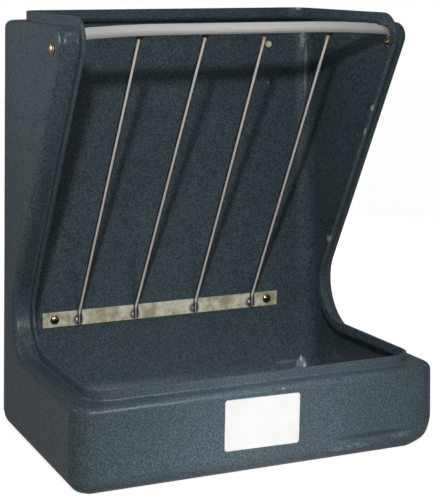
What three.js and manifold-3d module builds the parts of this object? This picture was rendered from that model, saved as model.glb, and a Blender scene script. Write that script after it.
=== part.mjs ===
// Wall feeder for hay and grain: a one-piece moulded shell with a trough below, and a steel
// hay rack of round rods bolted inside it. Millimetres, +Z up, +Y towards the wall.
// The origin is on the floor plane, under the middle of the shell.

import * as THREE from "three";
import { mergeVertices } from "three/addons/utils/BufferGeometryUtils.js";
import Module from "manifold-3d";

const wasm = await Module();
wasm.setup();

// Shell
const shellWidth = 610;
const shellDepth = 419;
const shellHeight = 686;
const troughHeight = 136;
const wall = 5;
const sideLedge = 29;
const frontLedge = 24.5;
const backLedge = 25;
const lipHeight = 15;
const waistDepth = 83;
const waistRadius = 75;
const noseDepth = 324;
const noseRadius = 21.5;
const frontEdgeRadius = 40;
const backEdgeRadius = 34;
const shoulderRadius = 11;
const lipFrontRadius = 40;
const lipBackRadius = 30;

// How far each side leans in, per millimetre of height and per millimetre towards the wall
const uprightDraft = 0.0294;
const backDraft = 0.0235;

// Hay rack
const flatBarWidth = 25.4;
const flatBarThickness = 3.2;
const barSetback = 26;
const barDrop = 27.5;
const barBow = 8.5;
const earLength = 36;
const earBoltDrop = 22;
const earBendRadius = 6;
const rodDiameter = 8;
const rodBendLength = 5;
const stripOverhang = 21;
const stripRise = 31;
const footShortfall = 4;
const rodFootShares = [-0.355, -0.122, 0.133, 0.382];
const rodTopShares = [-0.353, -0.112, 0.113, 0.362];

// Fasteners
const wallBoltDiameter = 6.35;
const stripBoltHeadDiameter = 14;
const stripBoltHeadHeight = 4;
const mountBoltHexWidth = 10;
const mountBoltHeadHeight = 4.2;
const teeFlangeDiameter = 22;
const teeFlangeThickness = 1.6;
const teeBarrelDiameter = 10;
const wallBoltSpacing = 400;
const mountBoltDrop = 64;
const sideBoltDiameter = 7.9;
const sideBoltHeadDiameter = 18;
const sideBoltHeadHeight = 4.6;
const sideBoltEnd = 3;
const washerDiameter = 18;
const washerThickness = 1.6;
const nutHexWidth = 12.7;
const nutThickness = 6.7;

// Clearance between pieces that touch on the real object, and the small differences in size
// that keep the solids of a boolean from sharing a face
const fit = 0.3;
const skin = 0.02;
const overrun = 40;

// Facets
const edgeSteps = 6;
const shoulderSteps = 3;
const arcSteps = 5;
const roundSides = 24;
const rodSides = 6;
const bowSteps = 12;
const bendSteps = 4;

const halfWidth = shellWidth / 2;
const front = -shellDepth / 2;
const back = shellDepth / 2;
const rimTop = shellHeight - lipHeight;
const stripHeight = troughHeight + stripRise;
const stripLength = wallBoltSpacing + 2 * stripOverhang;
const mountBoltHeight = shellHeight - mountBoltDrop;

// The rim seen from the side: a rounded nose at the top, a straight slant down and back, a
// hollow waist and the level trough. The slant touches both circles.
const nose = new THREE.Vector2(back - noseDepth + noseRadius, rimTop - noseRadius);
const waist = new THREE.Vector2(back - waistDepth - waistRadius, troughHeight + waistRadius);
const noseToWaist = waist.clone().sub(nose);
const slantNormal = noseToWaist.angle() - Math.acos((noseRadius + waistRadius) / noseToWaist.length());

function rimOutline(lift, frontEnd, backEnd, floor) {
  const outline = new THREE.Shape();
  outline.moveTo(backEnd, floor);
  outline.lineTo(backEnd, rimTop + lift);
  outline.lineTo(nose.x, rimTop + lift);
  outline.absarc(nose.x, nose.y, noseRadius + lift, Math.PI / 2, slantNormal, false);
  outline.absarc(waist.x, waist.y, waistRadius - lift, slantNormal - Math.PI, -Math.PI / 2, true);
  outline.lineTo(frontEnd, troughHeight + lift);
  outline.lineTo(frontEnd, floor);
  outline.closePath();
  return outline;
}

// A box outline, anticlockwise from its lower left corner; a corner with a radius is an arc
function roundedBox(left, right, bottom, top, radii) {
  const outline = new THREE.Shape();
  const corners = [
    { x: left, y: bottom, inX: 1, inY: 1, startAngle: Math.PI, radius: radii[0] },
    { x: right, y: bottom, inX: -1, inY: 1, startAngle: -Math.PI / 2, radius: radii[1] },
    { x: right, y: top, inX: -1, inY: -1, startAngle: 0, radius: radii[2] },
    { x: left, y: top, inX: 1, inY: -1, startAngle: Math.PI / 2, radius: radii[3] },
  ];
  const first = Math.max(0, corners.findIndex((corner) => corner.radius > 0));
  for (let step = 0; step < corners.length; step += 1) {
    const { x, y, inX, inY, startAngle, radius } = corners[(first + step) % corners.length];
    if (radius > 0) {
      outline.absarc(x + inX * radius, y + inY * radius, radius, startAngle, startAngle + Math.PI / 2);
    } else if (step === 0) {
      outline.moveTo(x, y);
    } else {
      outline.lineTo(x, y);
    }
  }
  outline.closePath();
  return outline;
}

function extruded(outline, depth, bevel, bevelSegments) {
  return new THREE.ExtrudeGeometry(outline, {
    depth: depth - 2 * bevel,
    bevelEnabled: bevel > 0,
    bevelThickness: bevel,
    bevelSize: bevel,
    bevelOffset: -bevel,
    bevelSegments,
    curveSegments: arcSteps,
  }).translate(0, 0, bevel);
}

// A side outline in Y and Z, extruded across the shell in X
const sideView = new THREE.Matrix4().makeBasis(
  new THREE.Vector3(0, 1, 0), new THREE.Vector3(0, 0, 1), new THREE.Vector3(1, 0, 0));

function across(outline, half, bevel, bevelSegments) {
  return extruded(outline, 2 * half, bevel, bevelSegments).translate(0, 0, -half).applyMatrix4(sideView);
}

// A plan outline in X and Y, extruded upwards
function upwards(outline, bottom, top, bevel = 0, bevelSegments = 1) {
  return extruded(outline, top - bottom, bevel, bevelSegments).translate(0, 0, bottom);
}

function solid(geometry) {
  const bare = geometry.clone();
  bare.deleteAttribute("normal");
  bare.deleteAttribute("uv");
  const merged = mergeVertices(bare);
  const places = new Float32Array(merged.attributes.position.array);
  const corners = new Uint32Array(merged.index.array);
  return new wasm.Manifold(new wasm.Mesh({ numProp: 3, vertProperties: places, triVerts: corners }));
}

function geometryOf(body) {
  const mesh = body.getMesh();
  const geometry = new THREE.BufferGeometry();
  geometry.setAttribute("position", new THREE.BufferAttribute(mesh.vertProperties, 3));
  geometry.setIndex(new THREE.BufferAttribute(mesh.triVerts, 1));
  return geometry;
}

// A sloping side: every point near a side moves in with it, and the flat between follows in share
function leanAt(y, z) {
  return -uprightDraft * (z - troughHeight) - backDraft * (y - front);
}

function leaned(geometry, fromY, fromZ) {
  const flatHalf = halfWidth - sideLedge - lipFrontRadius;
  const places = geometry.attributes.position;
  for (let index = 0; index < places.count; index += 1) {
    const x = places.getX(index);
    const shift = leanAt(places.getY(index), places.getZ(index)) - leanAt(fromY, fromZ);
    places.setX(index, x + shift * THREE.MathUtils.clamp(x / flatHalf, -1, 1));
  }
  return geometry;
}

// The outside of the shell without its lip, or with an inset the hollow inside it
function shellBlock(inset) {
  const half = halfWidth - inset;
  const floor = inset;
  const frontEdge = frontEdgeRadius - inset;
  const backEdge = backEdgeRadius - inset;
  const shoulder = shoulderRadius - inset;
  const top = shellHeight + overrun;
  const frontBlock = across(
    roundedBox(front + inset, back + overrun, floor, top, [frontEdge + wall, 0, 0, 0]),
    half, frontEdge, edgeSteps);
  const backBlock = across(
    roundedBox(front - overrun, back - inset, floor - skin, top, [0, frontEdge + wall, 0, 0]),
    half + skin, backEdge, edgeSteps);
  const trough = upwards(
    roundedBox(-half - 3 * skin, half + 3 * skin, front + inset - skin, waist.x - waistRadius / 2,
      [frontEdge, frontEdge, 0, 0]),
    -overrun, troughHeight - inset, shoulder, shoulderSteps);
  const sides = across(
    rimOutline(-inset - skin, waist.x - waistRadius, back + overrun, -overrun),
    half + 2 * skin, shoulder, shoulderSteps);
  return solid(frontBlock).intersect(solid(backBlock)).intersect(solid(trough).add(solid(sides)));
}

// The band that stands up from the ledge, or the opening inside it
function lipBlock(inset, lift) {
  const half = halfWidth - sideLedge - inset;
  const plan = roundedBox(-half, half, front + frontLedge + inset, back - backLedge - inset,
    [lipFrontRadius - inset, lipFrontRadius - inset, lipBackRadius - inset, lipBackRadius - inset]);
  const prism = upwards(plan, troughHeight / 2, shellHeight + overrun);
  const profile = across(rimOutline(lift, front, back, 0), halfWidth, 0, 1);
  return solid(prism).intersect(solid(profile));
}

function cylinderAlong(place, direction, radius, before, after) {
  const geometry = new THREE.CylinderGeometry(radius, radius, before + after, roundSides);
  geometry.translate(0, (after - before) / 2, 0);
  geometry.applyQuaternion(new THREE.Quaternion().setFromUnitVectors(new THREE.Vector3(0, 1, 0), direction));
  geometry.translate(place.x, place.y, place.z);
  return solid(geometry);
}

// The rack's plane: the rods lean forward from the strip to the top bar
const stripBack = back - wall - fit;
const stripFront = stripBack - flatBarThickness;
const rodRadius = rodDiameter / 2;
const rodFootY = stripFront - fit - rodRadius;
const stripTop = stripHeight + flatBarWidth / 2;
const barY = back - noseDepth + barSetback;
const barZ = shellHeight - barDrop;
const rackLean = Math.atan2(rodFootY - barY, barZ - stripTop);
const rackUp = new THREE.Vector3(0, -Math.sin(rackLean), Math.cos(rackLean));
const barHalf = halfWidth - wall - fit + leanAt(barY, barZ);
const bowHalf = barHalf - earBendRadius - flatBarThickness;
const ledgeUnderside = rimTop - wall;

// The bar is bowed upwards, nearly flat in the middle and steeper towards its ends
function barRise(x) {
  return barBow * (1 - (x / bowHalf) ** 4);
}

const backwards = new THREE.Vector3(0, 1, 0);

// Bolts through the sides stand square to the leaning walls
function sideOutward(side) {
  return new THREE.Vector3(side, backDraft, uprightDraft).normalize();
}

function sideBoltPlace(side) {
  const place = new THREE.Vector3(0, barY, barZ).addScaledVector(rackUp, -earBoltDrop);
  place.x = side * (halfWidth + leanAt(place.y, place.z));
  return place;
}

function wallBoltPlace(side, height, y) {
  return new THREE.Vector3(side * wallBoltSpacing / 2, y, height);
}

const flangeSeat = fit + teeFlangeThickness + fit;

function mouldedBody() {
  const walls = shellBlock(0).add(lipBlock(0, lipHeight));
  const hollow = shellBlock(wall).add(lipBlock(wall, lipHeight + overrun));
  let body = solid(leaned(geometryOf(walls.subtract(hollow)), front, troughHeight));
  for (const side of [-1, 1]) {
    const outward = sideOutward(side);
    body = body.subtract(cylinderAlong(sideBoltPlace(side), outward, sideBoltDiameter / 2 + fit, 2 * wall, wall));
    for (const height of [stripHeight, mountBoltHeight]) {
      const place = wallBoltPlace(side, height, back);
      body = body.subtract(cylinderAlong(place, backwards, teeBarrelDiameter / 2 + fit, 2 * wall, wall));
      body = body.subtract(cylinderAlong(place, backwards, teeFlangeDiameter / 2 + fit, flangeSeat, wall));
    }
  }
  return geometryOf(body);
}

// Top bar: a bowed flat bar with both ends bent down as ears along the side walls. Its upper
// back corner is notched near each end to pass under the ledge.
function topBar() {
  const outer = earBendRadius + flatBarThickness;
  const level = flatBarThickness / 2;
  const points = [];
  const bend = (side, radius, startAngle, endAngle) => {
    const centre = new THREE.Vector2(side * (barHalf - outer), level - outer);
    for (let step = 0; step <= bendSteps; step += 1) {
      const angle = startAngle + (endAngle - startAngle) * step / bendSteps;
      points.push(new THREE.Vector2(centre.x + radius * Math.cos(angle), centre.y + radius * Math.sin(angle)));
    }
  };
  const bow = (side, offset) => {
    for (let step = 1; step < bowSteps; step += 1) {
      const x = side * bowHalf * (1 - 2 * step / bowSteps);
      points.push(new THREE.Vector2(x, barRise(x) + offset));
    }
  };
  points.push(new THREE.Vector2(barHalf, -earLength));
  bend(1, outer, 0, Math.PI / 2);
  bow(1, level);
  bend(-1, outer, Math.PI / 2, Math.PI);
  points.push(new THREE.Vector2(-barHalf, -earLength));
  points.push(new THREE.Vector2(flatBarThickness - barHalf, -earLength));
  bend(-1, earBendRadius, Math.PI, Math.PI / 2);
  bow(-1, -level);
  bend(1, earBendRadius, Math.PI / 2, 0);
  points.push(new THREE.Vector2(barHalf - flatBarThickness, -earLength));
  const bar = new THREE.ExtrudeGeometry(new THREE.Shape(points), { depth: flatBarWidth, bevelEnabled: false });
  const acrossBar = new THREE.Vector3(1, 0, 0).cross(rackUp);
  bar.translate(0, 0, -flatBarWidth / 2);
  bar.applyMatrix4(new THREE.Matrix4().makeBasis(new THREE.Vector3(1, 0, 0), rackUp, acrossBar));
  bar.translate(0, barY, barZ);
  let body = solid(leaned(bar, barY, barZ));
  const notchStart = halfWidth - sideLedge - wall - fit + leanAt(barY + flatBarWidth / 2, shellHeight);
  const notchFloor = ledgeUnderside - fit;
  for (const side of [-1, 1]) {
    const notch = new THREE.BoxGeometry(overrun, overrun, overrun);
    notch.translate(side * (notchStart + overrun / 2), barY, notchFloor + overrun / 2);
    body = body.subtract(solid(notch));
    const hole = cylinderAlong(sideBoltPlace(side), sideOutward(side), sideBoltDiameter / 2 + fit, 4 * wall, wall);
    body = body.subtract(hole);
  }
  return geometryOf(body);
}

// A path that is swept through its own stations, each with its tangent
class StationPath extends THREE.Curve {
  constructor(stations) {
    super();
    this.stations = stations;
  }

  getPointAt(share) {
    return this.stations[Math.round(share * (this.stations.length - 1))].place.clone();
  }

  getTangentAt(share) {
    return this.stations[Math.round(share * (this.stations.length - 1))].tangent.clone();
  }
}

// Rod: an upright foot on the strip, a bend at the strip's top and a straight run to the bar
function rackRod(footShare, topShare) {
  const footX = footShare * stripLength;
  const topX = topShare * stripLength;
  const rise = barRise(topX) - flatBarThickness / 2 - fit;
  const top = new THREE.Vector3(topX, barY, barZ).addScaledVector(rackUp, rise);
  const bend = new THREE.Vector3(footX, rodFootY, stripTop);
  const upright = new THREE.Vector3(0, 0, 1);
  const run = top.clone().sub(bend).normalize();
  const between = upright.clone().add(run).normalize();
  const foot = bend.clone().setZ(stripTop - flatBarWidth + footShortfall);
  const bendStart = bend.clone().addScaledVector(upright, -rodBendLength);
  const bendEnd = bend.clone().addScaledVector(run, rodBendLength);
  const middle = bendStart.clone().add(bendEnd).add(bend).add(bend).divideScalar(4);
  const path = new StationPath([
    { place: foot, tangent: upright },
    { place: bendStart, tangent: upright },
    { place: middle, tangent: between },
    { place: bendEnd, tangent: run },
    { place: top, tangent: run },
  ]);
  const section = new THREE.Shape();
  section.absarc(0, 0, rodRadius, 0, 2 * Math.PI);
  return new THREE.ExtrudeGeometry(section, {
    extrudePath: path, steps: path.stations.length - 1, curveSegments: rodSides });
}

// Strip: the same flat bar laid along the back wall, with a hole near each end
function wallStrip() {
  const low = stripHeight - flatBarWidth / 2;
  const outline = roundedBox(-stripLength / 2, stripLength / 2, low, stripTop, [0, 0, 0, 0]);
  for (const side of [-1, 1]) {
    const hole = new THREE.Path();
    hole.absarc(side * wallBoltSpacing / 2, stripHeight, wallBoltDiameter / 2 + fit, 0, 2 * Math.PI, true);
    outline.holes.push(hole);
  }
  const strip = new THREE.ExtrudeGeometry(outline, {
    depth: flatBarThickness, bevelEnabled: false, curveSegments: roundSides / 4 });
  const frontView = new THREE.Matrix4().makeBasis(
    new THREE.Vector3(1, 0, 0), new THREE.Vector3(0, 0, 1), new THREE.Vector3(0, -1, 0));
  return strip.applyMatrix4(frontView).translate(0, stripBack, 0);
}

// Turned and six-sided pieces are made along +Z, which points the way the bolt is driven
function turned(profile) {
  const points = profile.map(([radius, along]) => new THREE.Vector2(radius, along));
  return new THREE.LatheGeometry(points, roundSides).rotateX(Math.PI / 2);
}

function prism(radius, start, length, sides) {
  return new THREE.CylinderGeometry(radius, radius, length, sides)
    .rotateX(Math.PI / 2).translate(0, 0, start + length / 2);
}

function domedBolt(headDiameter, headHeight, shankDiameter, shankLength) {
  const profile = [];
  for (let step = 0; step <= edgeSteps; step += 1) {
    const angle = step / edgeSteps * Math.PI / 2;
    profile.push([headDiameter / 2 * Math.sin(angle), -fit - headHeight * Math.cos(angle)]);
  }
  profile.push([shankDiameter / 2, -fit], [shankDiameter / 2, shankLength], [0, shankLength]);
  return turned(profile);
}

function hexBolt(hexWidth, headHeight, shankDiameter, shankLength) {
  const head = prism(hexWidth / Math.sqrt(3), -fit - headHeight, headHeight, 6);
  const shank = prism(shankDiameter / 2, -fit - headHeight / 2, headHeight / 2 + fit + shankLength, roundSides);
  return geometryOf(solid(head).add(solid(shank)));
}

function hexNut(hexWidth, thickness, start, shankDiameter) {
  const block = prism(hexWidth / Math.sqrt(3), start, thickness, 6);
  const bore = prism(shankDiameter / 2 + fit, start - thickness, 3 * thickness, roundSides);
  return geometryOf(solid(block).subtract(solid(bore)));
}

function washer(diameter, thickness, start, shankDiameter) {
  const bore = shankDiameter / 2 + fit;
  return turned([
    [bore, start], [diameter / 2, start], [diameter / 2, start + thickness], [bore, start + thickness], [bore, start],
  ]);
}

// A flanged nut let into the back of the wall, flush with it
function teeNut(reach) {
  const bore = wallBoltDiameter / 2 + fit;
  const barrel = teeBarrelDiameter / 2;
  const barrelStart = reach - wall + fit;
  const flangeStart = reach - fit - teeFlangeThickness;
  return turned([
    [bore, barrelStart], [barrel, barrelStart], [barrel, flangeStart], [teeFlangeDiameter / 2, flangeStart],
    [teeFlangeDiameter / 2, reach - fit], [bore, reach - fit], [bore, barrelStart],
  ]);
}

const slatePolyethylene = new THREE.MeshStandardMaterial({ color: 0x46525a, roughness: 0.62, metalness: 0 });
const brightSteel = new THREE.MeshStandardMaterial({ color: 0xb9b4ae, roughness: 0.35, metalness: 0.9 });
const platedSteel = new THREE.MeshStandardMaterial({ color: 0xb0ab8c, roughness: 0.5, metalness: 0.7 });
const yellowZinc = new THREE.MeshStandardMaterial({ color: 0xb89650, roughness: 0.4, metalness: 0.85 });

const feeder = new THREE.Group();

function put(parent, name, geometry, material) {
  const mesh = new THREE.Mesh(geometry, material);
  mesh.name = name;
  parent.add(mesh);
}

function seat(place, direction) {
  const group = new THREE.Group();
  group.position.copy(place);
  group.quaternion.setFromUnitVectors(new THREE.Vector3(0, 0, 1), direction);
  feeder.add(group);
  return group;
}

put(feeder, "moulded_body", mouldedBody(), slatePolyethylene);
put(feeder, "rack_top_bar", topBar(), brightSteel);
rodFootShares.forEach((share, index) => {
  put(feeder, `rack_rod_${index + 1}`, rackRod(share, rodTopShares[index]), brightSteel);
});
put(feeder, "rack_wall_strip", wallStrip(), platedSteel);

for (const [name, side] of [["left", -1], ["right", 1]]) {
  const stripReach = back - stripFront;
  const strip = seat(wallBoltPlace(side, stripHeight, stripFront), backwards);
  put(strip, `strip_bolt_${name}`,
    domedBolt(stripBoltHeadDiameter, stripBoltHeadHeight, wallBoltDiameter, stripReach - fit), brightSteel);
  put(strip, `strip_tee_nut_${name}`, teeNut(stripReach), platedSteel);

  const mount = seat(wallBoltPlace(side, mountBoltHeight, back - wall), backwards);
  put(mount, `mount_bolt_${name}`,
    hexBolt(mountBoltHexWidth, mountBoltHeadHeight, wallBoltDiameter, wall - fit), platedSteel);
  put(mount, `mount_tee_nut_${name}`, teeNut(wall), platedSteel);

  const washerStart = wall + fit + flatBarThickness + fit;
  const nutStart = washerStart + washerThickness + fit;
  const hanger = seat(sideBoltPlace(side), sideOutward(side).negate());
  put(hanger, `side_bolt_${name}`,
    domedBolt(sideBoltHeadDiameter, sideBoltHeadHeight, sideBoltDiameter, nutStart + nutThickness + sideBoltEnd),
    yellowZinc);
  put(hanger, `side_washer_${name}`, washer(washerDiameter, washerThickness, washerStart, sideBoltDiameter),
    yellowZinc);
  put(hanger, `side_nut_${name}`, hexNut(nutHexWidth, nutThickness, nutStart, sideBoltDiameter), yellowZinc);
}

export default feeder;
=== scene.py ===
# %% [markdown]
# # A moulded wall feeder
# The real feeder is one hollow shell of slate-grey polyethylene, turned in a hot mould, with a deep
# trough below and a rack of four round rods bolted inside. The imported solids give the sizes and
# places. The bottom roundings, the heads of the strip bolts and the missing bolt holes differ from
# them, and the cells below say so. This notebook gives the looks: soft moulded corners, grainy
# plastic, pale rods, blotched zinc and the small accidents of a part that was trimmed and welded.

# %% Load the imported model
from math import acos, atan2, copysign, cos, degrees, pi, radians, sin, tan

import bmesh
import bpy
from mathutils import Matrix, Vector, noise


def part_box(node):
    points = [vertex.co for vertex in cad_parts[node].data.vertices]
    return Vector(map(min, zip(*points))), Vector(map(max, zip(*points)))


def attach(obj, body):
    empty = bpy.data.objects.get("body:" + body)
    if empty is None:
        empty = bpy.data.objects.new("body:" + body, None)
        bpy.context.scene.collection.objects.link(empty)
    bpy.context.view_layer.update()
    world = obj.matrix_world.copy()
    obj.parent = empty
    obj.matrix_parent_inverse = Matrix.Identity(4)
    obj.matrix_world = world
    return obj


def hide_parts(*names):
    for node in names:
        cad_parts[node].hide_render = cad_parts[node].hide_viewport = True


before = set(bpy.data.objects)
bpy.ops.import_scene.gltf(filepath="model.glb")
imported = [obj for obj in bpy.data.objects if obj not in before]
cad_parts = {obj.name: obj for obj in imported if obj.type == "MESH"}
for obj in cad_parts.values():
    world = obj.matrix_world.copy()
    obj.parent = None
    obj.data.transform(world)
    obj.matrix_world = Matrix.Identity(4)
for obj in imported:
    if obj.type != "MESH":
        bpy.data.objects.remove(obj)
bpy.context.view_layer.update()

MM = 0.001

# %% [markdown]
# ## Camera
# The photographer stood to the left and a little above. A straight-on view would hide the left
# panel and the depth of the trough, so the camera repeats the photograph's angle and lens. Its three
# axes are written as a matrix, because the picture's small roll is then one number.

# %% Camera
CAMERA_PLACE = Vector((-0.9663, -2.1318, 0.7669))
CAMERA_TURN = radians(24.72)
CAMERA_TILT = radians(11.09)
CAMERA_ROLL = radians(0.18)
LENS_MM = 106.73

camera_data = bpy.data.cameras.new("Camera")
camera_data.lens = LENS_MM
camera_data.sensor_width = 36
camera = bpy.data.objects.new("Camera", camera_data)
bpy.context.scene.collection.objects.link(camera)
bpy.context.scene.camera = camera
ahead = Vector((sin(CAMERA_TURN) * cos(CAMERA_TILT), cos(CAMERA_TURN) * cos(CAMERA_TILT), -sin(CAMERA_TILT)))
level = Vector((cos(CAMERA_TURN), -sin(CAMERA_TURN), 0))
axes = Matrix((level, level.cross(ahead), -ahead)).transposed().to_4x4()
camera.matrix_world = Matrix.Translation(CAMERA_PLACE) @ axes @ Matrix.Rotation(CAMERA_ROLL, 4, "Z")
print("camera looks down by", round(degrees(CAMERA_TILT), 1), "degrees")

# %% [markdown]
# ## Light
# One small lamp above the camera does most of the work: it leaves the outer left panel dim and throws
# the bar's shadow on the back wall, as in the photograph. A second lamp with a narrow spread stands
# in front of the trough and above it, and its light ends about halfway up the back wall. A third
# shines down on the rack's top bar, a fourth lifts the top of the left panel from behind, and a low
# one at the back keeps the hidden sides readable in other views. The background is white only to the
# camera and, less strongly, to mirrored rays, so that it adds little haze to panels seen at a flat
# angle.

# %% Lights and background
def soft_lamp(name, place, aim, size, power, spread=180, mirrored=True):
    lamp = bpy.data.lights.new(name, "AREA")
    lamp.shape = "DISK"
    lamp.size = size
    lamp.energy = power
    lamp.spread = radians(spread)
    holder = bpy.data.objects.new(name, lamp)
    bpy.context.scene.collection.objects.link(holder)
    holder.visible_camera = False
    holder.visible_glossy = mirrored
    holder.location = place
    holder.rotation_euler = (Vector(aim) - Vector(place)).to_track_quat("-Z", "Y").to_euler()


MIDDLE = (0.0, 0.0, 0.34)
soft_lamp("Key_lamp", (-0.93, -1.85, 1.21), MIDDLE, 0.11, 18.2)
soft_lamp("Trough_lamp", (0.0, -0.95, 0.60), (0.0, -0.20, 0.0), 0.2, 0.62, spread=52)
soft_lamp("Rack_lamp", (-0.10, -0.42, 1.50), (0.0, -0.07, 0.60), 0.3, 0.2, spread=45)
soft_lamp("Left_lamp", (-1.3, 0.45, 0.85), (-0.3, 0.0, 0.66), 0.5, 0.55, spread=55)
soft_lamp("Back_lamp", (1.25, 1.7, 0.55), MIDDLE, 0.6, 12, mirrored=False)

world = bpy.data.worlds.new("Studio")
bpy.context.scene.world = world
world.use_nodes = True


def set_input(tree, socket, value):
    """Joins a socket to another node's output, or gives it a plain value."""
    if isinstance(value, bpy.types.NodeSocket):
        tree.links.new(value, socket)
    else:
        socket.default_value = value


def place(tree, kind, links=None, **settings):
    made = tree.nodes.new(kind)
    for key, value in settings.items():
        setattr(made, key, value)
    for key, value in (links or {}).items():
        set_input(tree, made.inputs[key], value)
    return made


def calc(tree, operation, first, second=0.5, clamp=False):
    made = place(tree, "ShaderNodeMath", {0: first, 1: second}, operation=operation, use_clamp=clamp)
    return made.outputs[0]


MIRRORED_SHARE = 0.10
sky = world.node_tree
sky.nodes.clear()
rays = place(sky, "ShaderNodeLightPath")
sees_white = calc(sky, "MAXIMUM", rays.outputs["Is Camera Ray"], rays.outputs["Is Transmission Ray"])
mirrored = calc(sky, "MULTIPLY", rays.outputs["Is Glossy Ray"], MIRRORED_SHARE)
sees_white = calc(sky, "MAXIMUM", sees_white, mirrored)
dim = place(sky, "ShaderNodeBackground", {"Color": (0.90, 0.95, 1.0, 1), "Strength": 0.06})
white = place(sky, "ShaderNodeBackground", {"Color": (1, 1, 1, 1), "Strength": 1.0})
backdrop = place(sky, "ShaderNodeMixShader", {0: sees_white, 1: dim.outputs[0], 2: white.outputs[0]})
place(sky, "ShaderNodeOutputWorld", {"Surface": backdrop.outputs[0]})

# %% [markdown]
# ## Patterns that several finishes share
# A finish is a colour plus the way it changes over the surface. Each kind of change is a small group
# of nodes with named inputs, made once here and then used with other values in each material. The
# specks are drawn out from front to back, because the side walls are seen at a flat angle and lose
# them otherwise. That is a choice for the picture: nothing shows that the real specks are long.

# %% Node helpers
NUMBER, PLACE = "NodeSocketFloat", "NodeSocketVector"


def remap(tree, value, low, high, to_low=0.0, to_high=1.0):
    links = {"Value": value, "From Min": low, "From Max": high, "To Min": to_low, "To Max": to_high}
    return place(tree, "ShaderNodeMapRange", links, interpolation_type="SMOOTHSTEP").outputs["Result"]


def mix_colours(tree, amount, first, second):
    made = place(tree, "ShaderNodeMix", data_type="RGBA")
    for key, value in (("Factor_Float", amount), ("A_Color", first), ("B_Color", second)):
        set_input(tree, next(s for s in made.inputs if s.identifier == key), value)
    return next(s for s in made.outputs if s.identifier == "Result_Color")


def vector_calc(tree, operation, first, second=(0, 0, 0)):
    return place(tree, "ShaderNodeVectorMath", {0: first, 1: second}, operation=operation).outputs


def new_group(name, inputs, outputs):
    tree = bpy.data.node_groups.new(name, "ShaderNodeTree")
    for label, kind, value in inputs:
        socket = tree.interface.new_socket(label, in_out="INPUT", socket_type=kind)
        socket.default_value = value
    for label in outputs:
        tree.interface.new_socket(label, in_out="OUTPUT", socket_type=NUMBER)
    return tree, tree.nodes.new("NodeGroupInput").outputs, tree.nodes.new("NodeGroupOutput").inputs


def noise_at(tree, where, scale, detail=2.0, roughness=0.55):
    links = {"Vector": where, "Scale": scale, "Detail": detail, "Roughness": roughness}
    return place(tree, "ShaderNodeTexNoise", links).outputs["Fac"]


def object_place(tree):
    return place(tree, "ShaderNodeTexCoord").outputs["Object"]

# %% Node groups
SPECK_DRAW = 0.42


def fine_grain():
    """Noise at three sizes: slow swells of a wall, the peel of a moulded skin and the specks in it."""
    tree, given, sinks = new_group(
        "Fine grain",
        [("Peel scale", NUMBER, 300.0), ("Speck scale", NUMBER, 700.0), ("Sway scale", NUMBER, 9.0)],
        ["Peel", "Specks", "Sway"])
    where = object_place(tree)
    tree.links.new(noise_at(tree, where, given["Peel scale"]), sinks["Peel"])
    drawn_out = vector_calc(tree, "MULTIPLY", where, (1, SPECK_DRAW, 1))[0]
    specks = noise_at(tree, drawn_out, given["Speck scale"], 3.0, 0.7)
    tree.links.new(remap(tree, specks, 0.37, 0.63), sinks["Specks"])
    tree.links.new(remap(tree, noise_at(tree, where, given["Sway scale"], 3.0), 0.3, 0.7), sinks["Sway"])
    return tree


def edge_wear():
    """Where a convex edge has been rubbed, broken up by noise."""
    tree, given, sinks = new_group(
        "Edge wear", [("Reach", NUMBER, 0.003), ("Breakup", NUMBER, 90.0), ("Amount", NUMBER, 1.0)], ["Mask"])
    surface = place(tree, "ShaderNodeNewGeometry").outputs["Normal"]
    eased = place(tree, "ShaderNodeBevel", {"Radius": given["Reach"]}, samples=6).outputs["Normal"]
    turned = remap(tree, vector_calc(tree, "DOT_PRODUCT", surface, eased)["Value"], 0.985, 0.80)
    broken = remap(tree, noise_at(tree, object_place(tree), given["Breakup"], 3.0), 0.34, 0.58)
    mask = calc(tree, "MULTIPLY", calc(tree, "MULTIPLY", turned, broken), given["Amount"], clamp=True)
    tree.links.new(mask, sinks["Mask"])
    return tree


def soft_patch():
    """A soft ellipsoid round a place, filled with broken streaks: a scuff, a stain, a painted glint or
    painted shade.
    """
    tree, given, sinks = new_group(
        "Soft patch",
        [("Centre", PLACE, (0, 0, 0)), ("Half size", PLACE, (0.1, 0.1, 0.1)),
         ("Streak scale", PLACE, (200, 200, 40)), ("Cover", NUMBER, 0.5)], ["Mask"])
    where = object_place(tree)
    offset = vector_calc(tree, "SUBTRACT", where, given["Centre"])[0]
    reach = vector_calc(tree, "LENGTH", vector_calc(tree, "DIVIDE", offset, given["Half size"])[0])["Value"]
    inside = remap(tree, reach, 1.0, 0.35)
    streaks = noise_at(tree, vector_calc(tree, "MULTIPLY", where, given["Streak scale"])[0], 1.0, 4.0, 0.65)
    bar = calc(tree, "SUBTRACT", 0.75, calc(tree, "MULTIPLY", given["Cover"], 0.5))
    torn = remap(tree, calc(tree, "SUBTRACT", streaks, bar), -0.06, 0.06)
    tree.links.new(calc(tree, "MULTIPLY", inside, torn, clamp=True), sinks["Mask"])
    return tree


def drawn_metal():
    """Long fine lines left by a die or a roll, and cloudy patches with pits."""
    tree, given, sinks = new_group(
        "Drawn metal",
        [("Line scale", PLACE, (20, 900, 900)), ("Cloud scale", NUMBER, 45.0), ("Pit scale", NUMBER, 420.0)],
        ["Lines", "Clouds", "Pits"])
    where = object_place(tree)
    lines = noise_at(tree, vector_calc(tree, "MULTIPLY", where, given["Line scale"])[0], 1.0, 3.0)
    pits = place(tree, "ShaderNodeTexVoronoi", {"Vector": where, "Scale": given["Pit scale"]})
    tree.links.new(lines, sinks["Lines"])
    clouds = noise_at(tree, where, given["Cloud scale"], 5.0, 0.65)
    tree.links.new(remap(tree, clouds, 0.36, 0.64), sinks["Clouds"])
    tree.links.new(remap(tree, pits.outputs["Distance"], 0.22, 0.05), sinks["Pits"])
    return tree


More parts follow.
